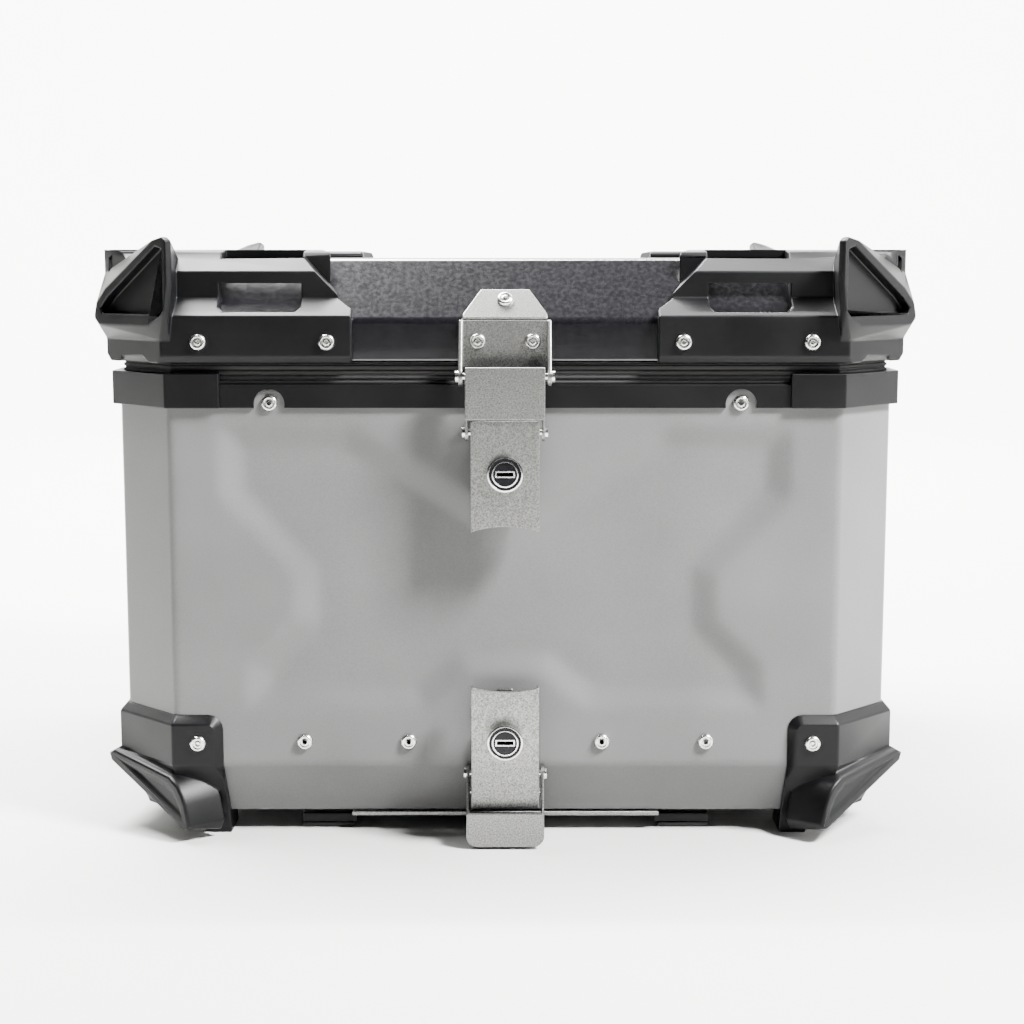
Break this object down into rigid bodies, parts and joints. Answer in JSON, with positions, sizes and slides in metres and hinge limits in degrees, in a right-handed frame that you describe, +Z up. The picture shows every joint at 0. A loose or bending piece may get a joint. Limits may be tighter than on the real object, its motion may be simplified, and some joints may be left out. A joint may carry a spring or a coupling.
{
  "type": "top case",
  "caption": "Hard motorcycle top case: riveted aluminium box, hinged lid with plastic corner guards, locking lid latch, and a base latch that holds it to a rack plate.",
  "frame": {"origin": "middle of the rack bolt pattern, on the ground plane under the case", "axes": "+X across to the right seen from the latch side, +Y from the latch side to the hinge side, +Z up"},
  "size_m": [0.44, 0.384, 0.3225],
  "materials": {
    "aluminium_sheet": "satin clear anodised",
    "black_nylon": "fine moulded texture, satin",
    "lid_paint": "satin black powder coat",
    "black_rubber": "matte",
    "blasted_steel": "bead blasted with polished edges",
    "bright_steel": "bright",
    "lock_chrome": "polished",
    "lock_face": "gloss black"
  },
  "bodies": {
    "rack": {"rack_plate": "black_nylon", "rack_sheet": "blasted_steel", "rack_pads": "black_rubber"},
    "case": {"body_shell": "aluminium_sheet", "floor_pan": "aluminium_sheet", "rim_collar": "black_nylon", "rim_cap_front_left": "black_nylon", "rim_cap_front_right": "black_nylon", "rim_cap_rear_left": "black_nylon", "rim_cap_rear_right": "black_nylon", "rim_seal": "black_rubber", "base_guard_front_left": "black_nylon", "base_guard_front_right": "black_nylon", "base_guard_rear_left": "black_nylon", "base_guard_rear_right": "black_nylon", "base_guard_rivets": "bright_steel", "floor_rivets": "bright_steel", "collar_rivets": "bright_steel", "latch_keeper": "blasted_steel", "keeper_rivets": "bright_steel", "hinge_leaf_body_left": "blasted_steel", "hinge_leaf_body_right": "blasted_steel", "hinge_pins": "bright_steel", "hinge_body_rivets": "bright_steel", "base_latch_bracket": "blasted_steel", "base_latch_rivets": "bright_steel", "base_latch_pin": "bright_steel", "rear_claws": "blasted_steel"},
    "lid": {"lid_shell": "lid_paint", "lid_frame": "black_nylon", "lid_guard_front_left": "black_nylon", "lid_guard_front_right": "black_nylon", "lid_guard_rear_left": "black_nylon", "lid_guard_rear_right": "black_nylon", "lid_guard_rivets": "bright_steel", "latch_bracket": "blasted_steel", "latch_bracket_rivets": "bright_steel", "link_upper_pins": "bright_steel", "hinge_leaf_lid_left": "blasted_steel", "hinge_leaf_lid_right": "blasted_steel", "hinge_lid_rivets": "bright_steel"},
    "top_link": {"top_link": "blasted_steel", "link_lower_pins": "bright_steel"},
    "top_lever": {"top_lever": "blasted_steel", "top_lock_barrel": "lock_chrome", "top_lock_nut": "lock_chrome"},
    "top_plug": {"top_lock_plug": "lock_face", "top_lock_cam": "lock_chrome", "top_cam_screw": "lock_chrome"},
    "base_lever": {"base_lever": "blasted_steel", "base_lock_barrel": "lock_chrome", "base_lock_nut": "lock_chrome", "hook_pins": "bright_steel"},
    "base_hook": {"base_hook": "blasted_steel"},
    "base_plug": {"base_lock_plug": "lock_face", "base_lock_cam": "lock_chrome", "base_cam_screw": "lock_chrome"}
  },
  "joints": [
    {"name": "plate_slide", "type": "slide", "parent": "rack", "child": "case", "axis": [0, -1, 0], "range_m": [0, 0.024]},
    {"name": "lid_hinge", "type": "hinge", "parent": "case", "child": "lid", "pos_m": [0, 0.178, 0.251], "axis": [-1, 0, 0], "range_deg": [0, 95]},
    {"name": "top_link_swing", "type": "hinge", "parent": "lid", "child": "top_link", "pos_m": [0, -0.181, 0.2506], "axis": [-1, 0, 0], "range_deg": [0, 100]},
    {"name": "top_lever_swing", "type": "hinge", "parent": "top_link", "child": "top_lever", "pos_m": [0, -0.181, 0.2216], "axis": [-1, 0, 0], "range_deg": [0, 88]},
    {"name": "top_lock_turn", "type": "hinge", "parent": "top_lever", "child": "top_plug", "pos_m": [0, -0.19, 0.2006], "axis": [0, 1, 0], "range_deg": [0, 90]},
    {"name": "base_lever_swing", "type": "hinge", "parent": "case", "child": "base_lever", "pos_m": [0, -0.178, 0.028], "axis": [1, 0, 0], "range_deg": [0, 60]},
    {"name": "base_hook_swing", "type": "hinge", "parent": "base_lever", "child": "base_hook", "pos_m": [0, -0.174, 0.037], "axis": [1, 0, 0], "range_deg": [-75, 0]},
    {"name": "base_lock_turn", "type": "hinge", "parent": "base_lever", "child": "base_plug", "pos_m": [0, -0.19, 0.0596], "axis": [0, 1, 0], "range_deg": [0, 90]}
  ],
  "couplings": [
    {"joint": "base_hook_swing", "follows": "base_lever_swing", "ratio": -1.25}
  ]
}
